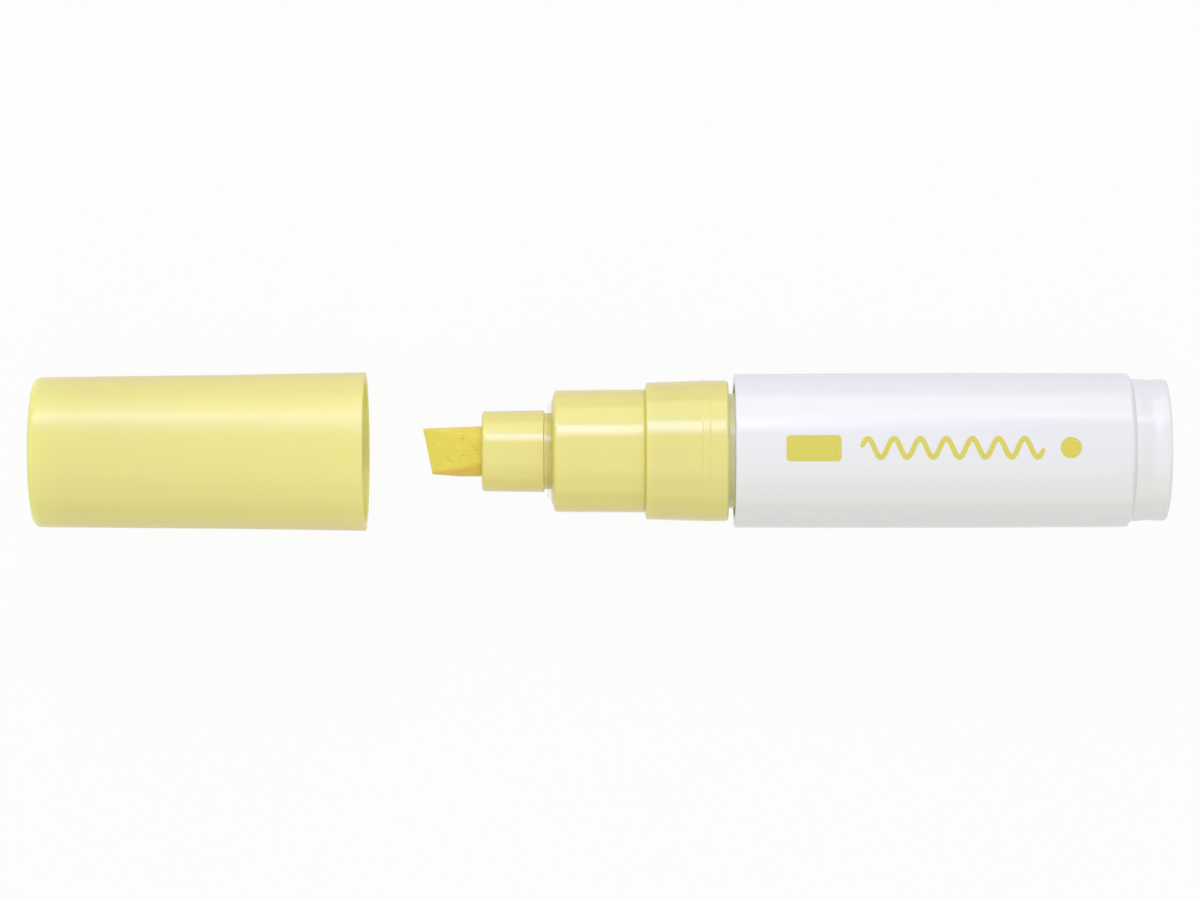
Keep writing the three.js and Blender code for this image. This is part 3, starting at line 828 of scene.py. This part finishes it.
# Inner cap: a thimble of natural polyethylene snapped into the bottom of the cap, which shuts over the nose.
# Its rim presses on the seal ring, so the nib stays wet.
low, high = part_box("inner_cap")
liner_back = (low.x - barrel_front) / MM
liner_rim = (high.x - barrel_front) / MM
liner_flange_r = 11.2
liner_flange = 1.2
liner_r = 7.6
liner_wall = 0.9
liner_floor = 0.8
liner_draft = 0.1
liner_profile = rounded([
    (liner_back, 0, 0),
    (liner_back, liner_flange_r, 0.2),
    (liner_back + liner_flange, liner_flange_r, 0.2),
    (liner_back + liner_flange, liner_r + liner_wall, 0.25),
    (liner_rim, liner_r + liner_wall, 0.35),
    (liner_rim, liner_r, 0.2),
    (liner_back + liner_floor, liner_r - liner_draft, 0.9),
    (liner_back + liner_floor, 0, 0),
])
thimble = turned("cap_thimble", liner_profile, natural_plastic)
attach(thimble, "cap")
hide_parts("inner_cap")

# Cap: the yellow outer shell, lying where it was pulled off. Polypropylene with a slightly duller skin.
# It is moulded with a flared mouth, a snap bead inside it, and a gate mark in the middle of its closed end.
low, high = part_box("cap_shell")
cap_end = (low.x - barrel_front) / MM
cap_mouth = (high.x - barrel_front) / MM
cap_mouth_r = 13.18
cap_waist = cap_mouth - 19.4
cap_waist_r = 12.83
cap_end_r = 12.45
cap_wall = 1.16
cap_end_wall = 1.6
cap_floor = cap_end + cap_end_wall
cap_floor_r = 11.31
cap_bore_bound_r = 12.4
waist_swell = 5.0
swell_back = (cap_waist - waist_swell, cap_waist_r - 0.055)
swell_front = (cap_waist + waist_swell, cap_waist_r + 0.09)
mouth_bend = 0.22
cap_bead = cap_mouth - 3.3
cap_bead_r = 11.86
liner_catch = cap_floor + 2.0
liner_catch_r = 11.01
bead_half = 0.4
cap_profile = rounded([
    (cap_end + gate_dip, 0, 0),
    (cap_end + gate_dip, gate_r, 0.1),
    (cap_end, gate_r + gate_slope, 0.1),
    (cap_end, cap_end_r, tail_bend),
    swell_back + (0,),
    *eased(swell_back, swell_front),
    swell_front + (0,),
    (cap_mouth, cap_mouth_r, mouth_bend),
    (cap_mouth, cap_mouth_r - cap_wall, mouth_bend),
    (cap_bead + bead_half, cap_bead_r + 0.1, 0),
    (cap_bead, cap_bead_r, 0.15),
    (cap_bead - bead_half, cap_bead_r + 0.09, 0),
    (cap_waist, cap_waist_r - cap_wall, 0),
    (liner_catch + bead_half, cap_floor_r, 0),
    (liner_catch, liner_catch_r, 0.15),
    (liner_catch - bead_half, cap_floor_r, 0),
    (cap_floor, 11.3, 0.2),
    (cap_floor, 0, 0),
])
cap_plastic = plastic(
    "cap_plastic", light=paint(243, 232, 128), dark=paint(239, 228, 122), silhouette_shade=paint(210, 190, 72),
    roughness=0.3, glow=0.45, glow_depth=(2.5, 2.4, 0.8),
    # Painted light: the cap's inner walls, in the shade of the cap, are coloured a lighter yellow.
    inner=(paint(254, 249, 130), cap_end, cap_bore_bound_r),
    peel_size=1.4, streak_width=1.3, scuffs=0.2, specks=0.25,
)
cap = turned("cap_outer", cap_profile, cap_plastic, turns=192)
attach(cap, "cap")
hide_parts("cap_shell")

# Studio: a white sweep under the marker, softboxes round it, strips of light that lay the gloss along its
# pieces, and the camera straight above. The floor's and the world's white shows only to the camera, in gloss
# and through clear parts.
photo_wide = 1200
photo_scale = 0.1656 * MM  # of a pixel of the photograph at the marker's axis
photo_rise = 0.17 * MM  # the photograph's middle lies this far above the marker's axis
camera_height = 0.78  # above the marker's axis, in metres, as all the studio's sizes are
camera_roll = math.radians(-0.12)
scene = bpy.context.scene
lens = bpy.data.cameras.new("camera")
lens.sensor_width = 36.0
lens.lens = lens.sensor_width * camera_height / (photo_wide * photo_scale)
camera = bpy.data.objects.new("camera", lens)
camera.location = (0.0, photo_rise, axis_z + camera_height)
camera.rotation_euler = (0.0, 0.0, camera_roll)
scene.collection.objects.link(camera)
scene.camera = camera
scene.view_settings.view_transform = "Standard"


def seen_as(tree, shade, white, share):
    """Shows this share of a flat white to the camera, gloss and clear parts, and the shade to other light."""
    path = put(tree, "LightPath")
    direct = sums(tree, "MAXIMUM", path.outputs["Is Camera Ray"], path.outputs["Is Glossy Ray"])
    seen = sums(tree, "MAXIMUM", direct, path.outputs["Is Transmission Ray"])
    return put(tree, "MixShader", {0: sums(tree, "MULTIPLY", seen, share), 1: shade, 2: white}).outputs[0]


floor_half = 3.0
floor_gap = 0.02 * MM
floor_white = 0.94
floor_corners = [(floor_half * x, floor_half * y, 0) for x, y in ((-1, -1), (1, -1), (1, 1), (-1, 1))]
floor_mesh = bpy.data.meshes.new("floor")
floor_mesh.from_pydata(floor_corners, [], [(0, 1, 2, 3)])
floor = bpy.data.objects.new("floor", floor_mesh)
floor.location.z = -floor_gap
scene.collection.objects.link(floor)
plain_white = (1.0, 1.0, 1.0, 1.0)
sweep = bpy.data.materials.new("white_sweep")
sweep.use_nodes = True
tree = sweep.node_tree
tree.nodes.clear()
matt = put(tree, "BsdfDiffuse", {"Color": (0.8, 0.8, 0.8, 1.0)}).outputs[0]
lit = put(tree, "Emission", {"Color": plain_white, "Strength": 1.0}).outputs[0]
put(tree, "OutputMaterial", {"Surface": seen_as(tree, matt, lit, floor_white)})
floor_mesh.materials.append(sweep)

world = bpy.data.worlds.new("studio")
world.use_nodes = True
scene.world = world
tree = world.node_tree
tree.nodes.clear()
room_level = 0.425
room = put(tree, "Background", {"Color": plain_white, "Strength": room_level}).outputs[0]
white = put(tree, "Background", {"Color": plain_white, "Strength": 1.0}).outputs[0]
put(tree, "OutputWorld", {"Surface": seen_as(tree, room, white, 1.0)})


def softbox(name, toward, left, right, deep, radiance, tint=(1.0, 1.0, 1.0)):
    """A rectangular light over the marker, in a direction in degrees from overhead towards +Y."""
    distance = 0.9
    wide = right - left
    lamp = bpy.data.lights.new(name, "AREA")
    lamp.shape = "RECTANGLE"
    lamp.size = wide
    lamp.size_y = deep
    lamp.energy = radiance * math.pi * wide * deep
    lamp.color = tint
    light = bpy.data.objects.new(name, lamp)
    angle = math.radians(toward)
    middle = (left + right) / 2
    light.location = (middle, distance * math.sin(angle), axis_z + distance * math.cos(angle))
    light.rotation_euler = (-angle, 0.0, 0.0)
    scene.collection.objects.link(light)
    return light


softbox("low_softbox", -66.0, -0.5, 0.5, 0.6, 0.6, (1.04, 1.0, 0.9))
softbox("near_softbox", -27.0, -0.26, 0.26, 0.6, 0.94)
softbox("overhead_softbox", 8.0, -0.23, 0.23, 0.46, 0.72)
cool = (0.74, 0.79, 1.35)
cap_strip_end = -0.092
collar_strip_end = 0.06
softbox("cap_strip", 56.0, -0.6, cap_strip_end, 0.18, 4.9, cool)
softbox("collar_strip", 42.5, cap_strip_end, collar_strip_end, 0.25, 6.0, cool)
softbox("fading_strip", 31.0, cap_strip_end, collar_strip_end, 0.14, 2.2, cool)
softbox("barrel_strip", 52.5, collar_strip_end, 0.6, 0.11, 2.5, (1.05, 1.0, 0.78))
softbox("far_softbox", 74.0, -0.23, 0.23, 0.56, 1.15, (1.13, 1.07, 0.86))
end_away = 0.7
end_height = 0.5
for name, side, radiance in (("mouth_softbox", 1, 1.0), ("tip_softbox", -1, 0.8)):
    end_softbox = softbox(name, 0.0, -0.25, 0.25, 0.5, radiance)
    end_softbox.location = (side * end_away, 0.0, axis_z + end_height)
    end_softbox.rotation_euler = (0.0, side * math.atan2(end_away, end_height), 0.0)
